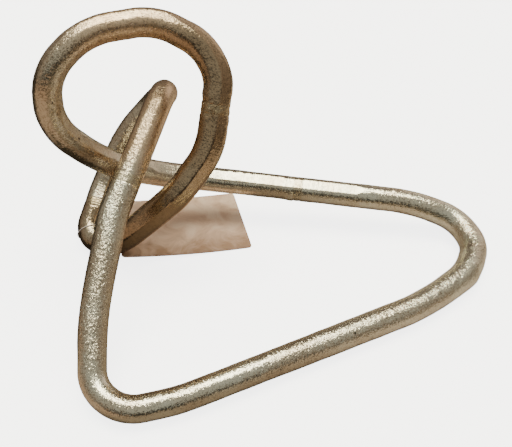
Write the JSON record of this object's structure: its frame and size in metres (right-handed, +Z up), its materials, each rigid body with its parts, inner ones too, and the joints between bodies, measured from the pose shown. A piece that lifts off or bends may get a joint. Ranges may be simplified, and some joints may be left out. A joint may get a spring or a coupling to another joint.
{
  "type": "knot sculpture",
  "caption": "Decorative knot sculpture of thick round cast aluminium rod, closed on itself as an open trefoil, with a card hang tag tied on by a clear nylon loop.",
  "frame": {"origin": "centre of the knot's footprint, on the surface that it stands on", "axes": "+X to the right, along the knot's longest side, from the near left corner towards the wide bend; +Y to the back; +Z up"},
  "size_m": [0.2796, 0.2032, 0.1583],
  "materials": {
    "cast_aluminium": "fine sand-cast texture with a pale gold lacquer, satin",
    "weld_metal": "dressed weld, linished, under the same pale gold lacquer",
    "tag_card": "mottled brown card, matt",
    "clear_nylon": "clear nylon monofilament"
  },
  "bodies": {
    "knot": {"base_casting": "cast_aluminium", "ring_casting": "cast_aluminium", "lower_bend_casting": "cast_aluminium", "hairpin_casting": "cast_aluminium", "weld_back_run": "weld_metal", "weld_ring_right": "weld_metal", "weld_back_leg": "weld_metal", "weld_front_leg": "weld_metal"},
    "thread_loop": {"tag_thread": "clear_nylon", "thread_lock": "clear_nylon"},
    "tag": {"hang_tag": "tag_card"}
  },
  "joints": [
    {"name": "thread_lift", "type": "hinge", "parent": "knot", "child": "thread_loop", "pos_m": [-0.123, 0.04385, 0.00938], "axis": [0.2886, -0.9155, -0.2804], "range_deg": [0, 2]},
    {"name": "tag_swing", "type": "hinge", "parent": "thread_loop", "child": "tag", "pos_m": [-0.10085, 0.05239, 0.00428], "axis": [0, 0, 1], "range_deg": [0, 15]}
  ]
}
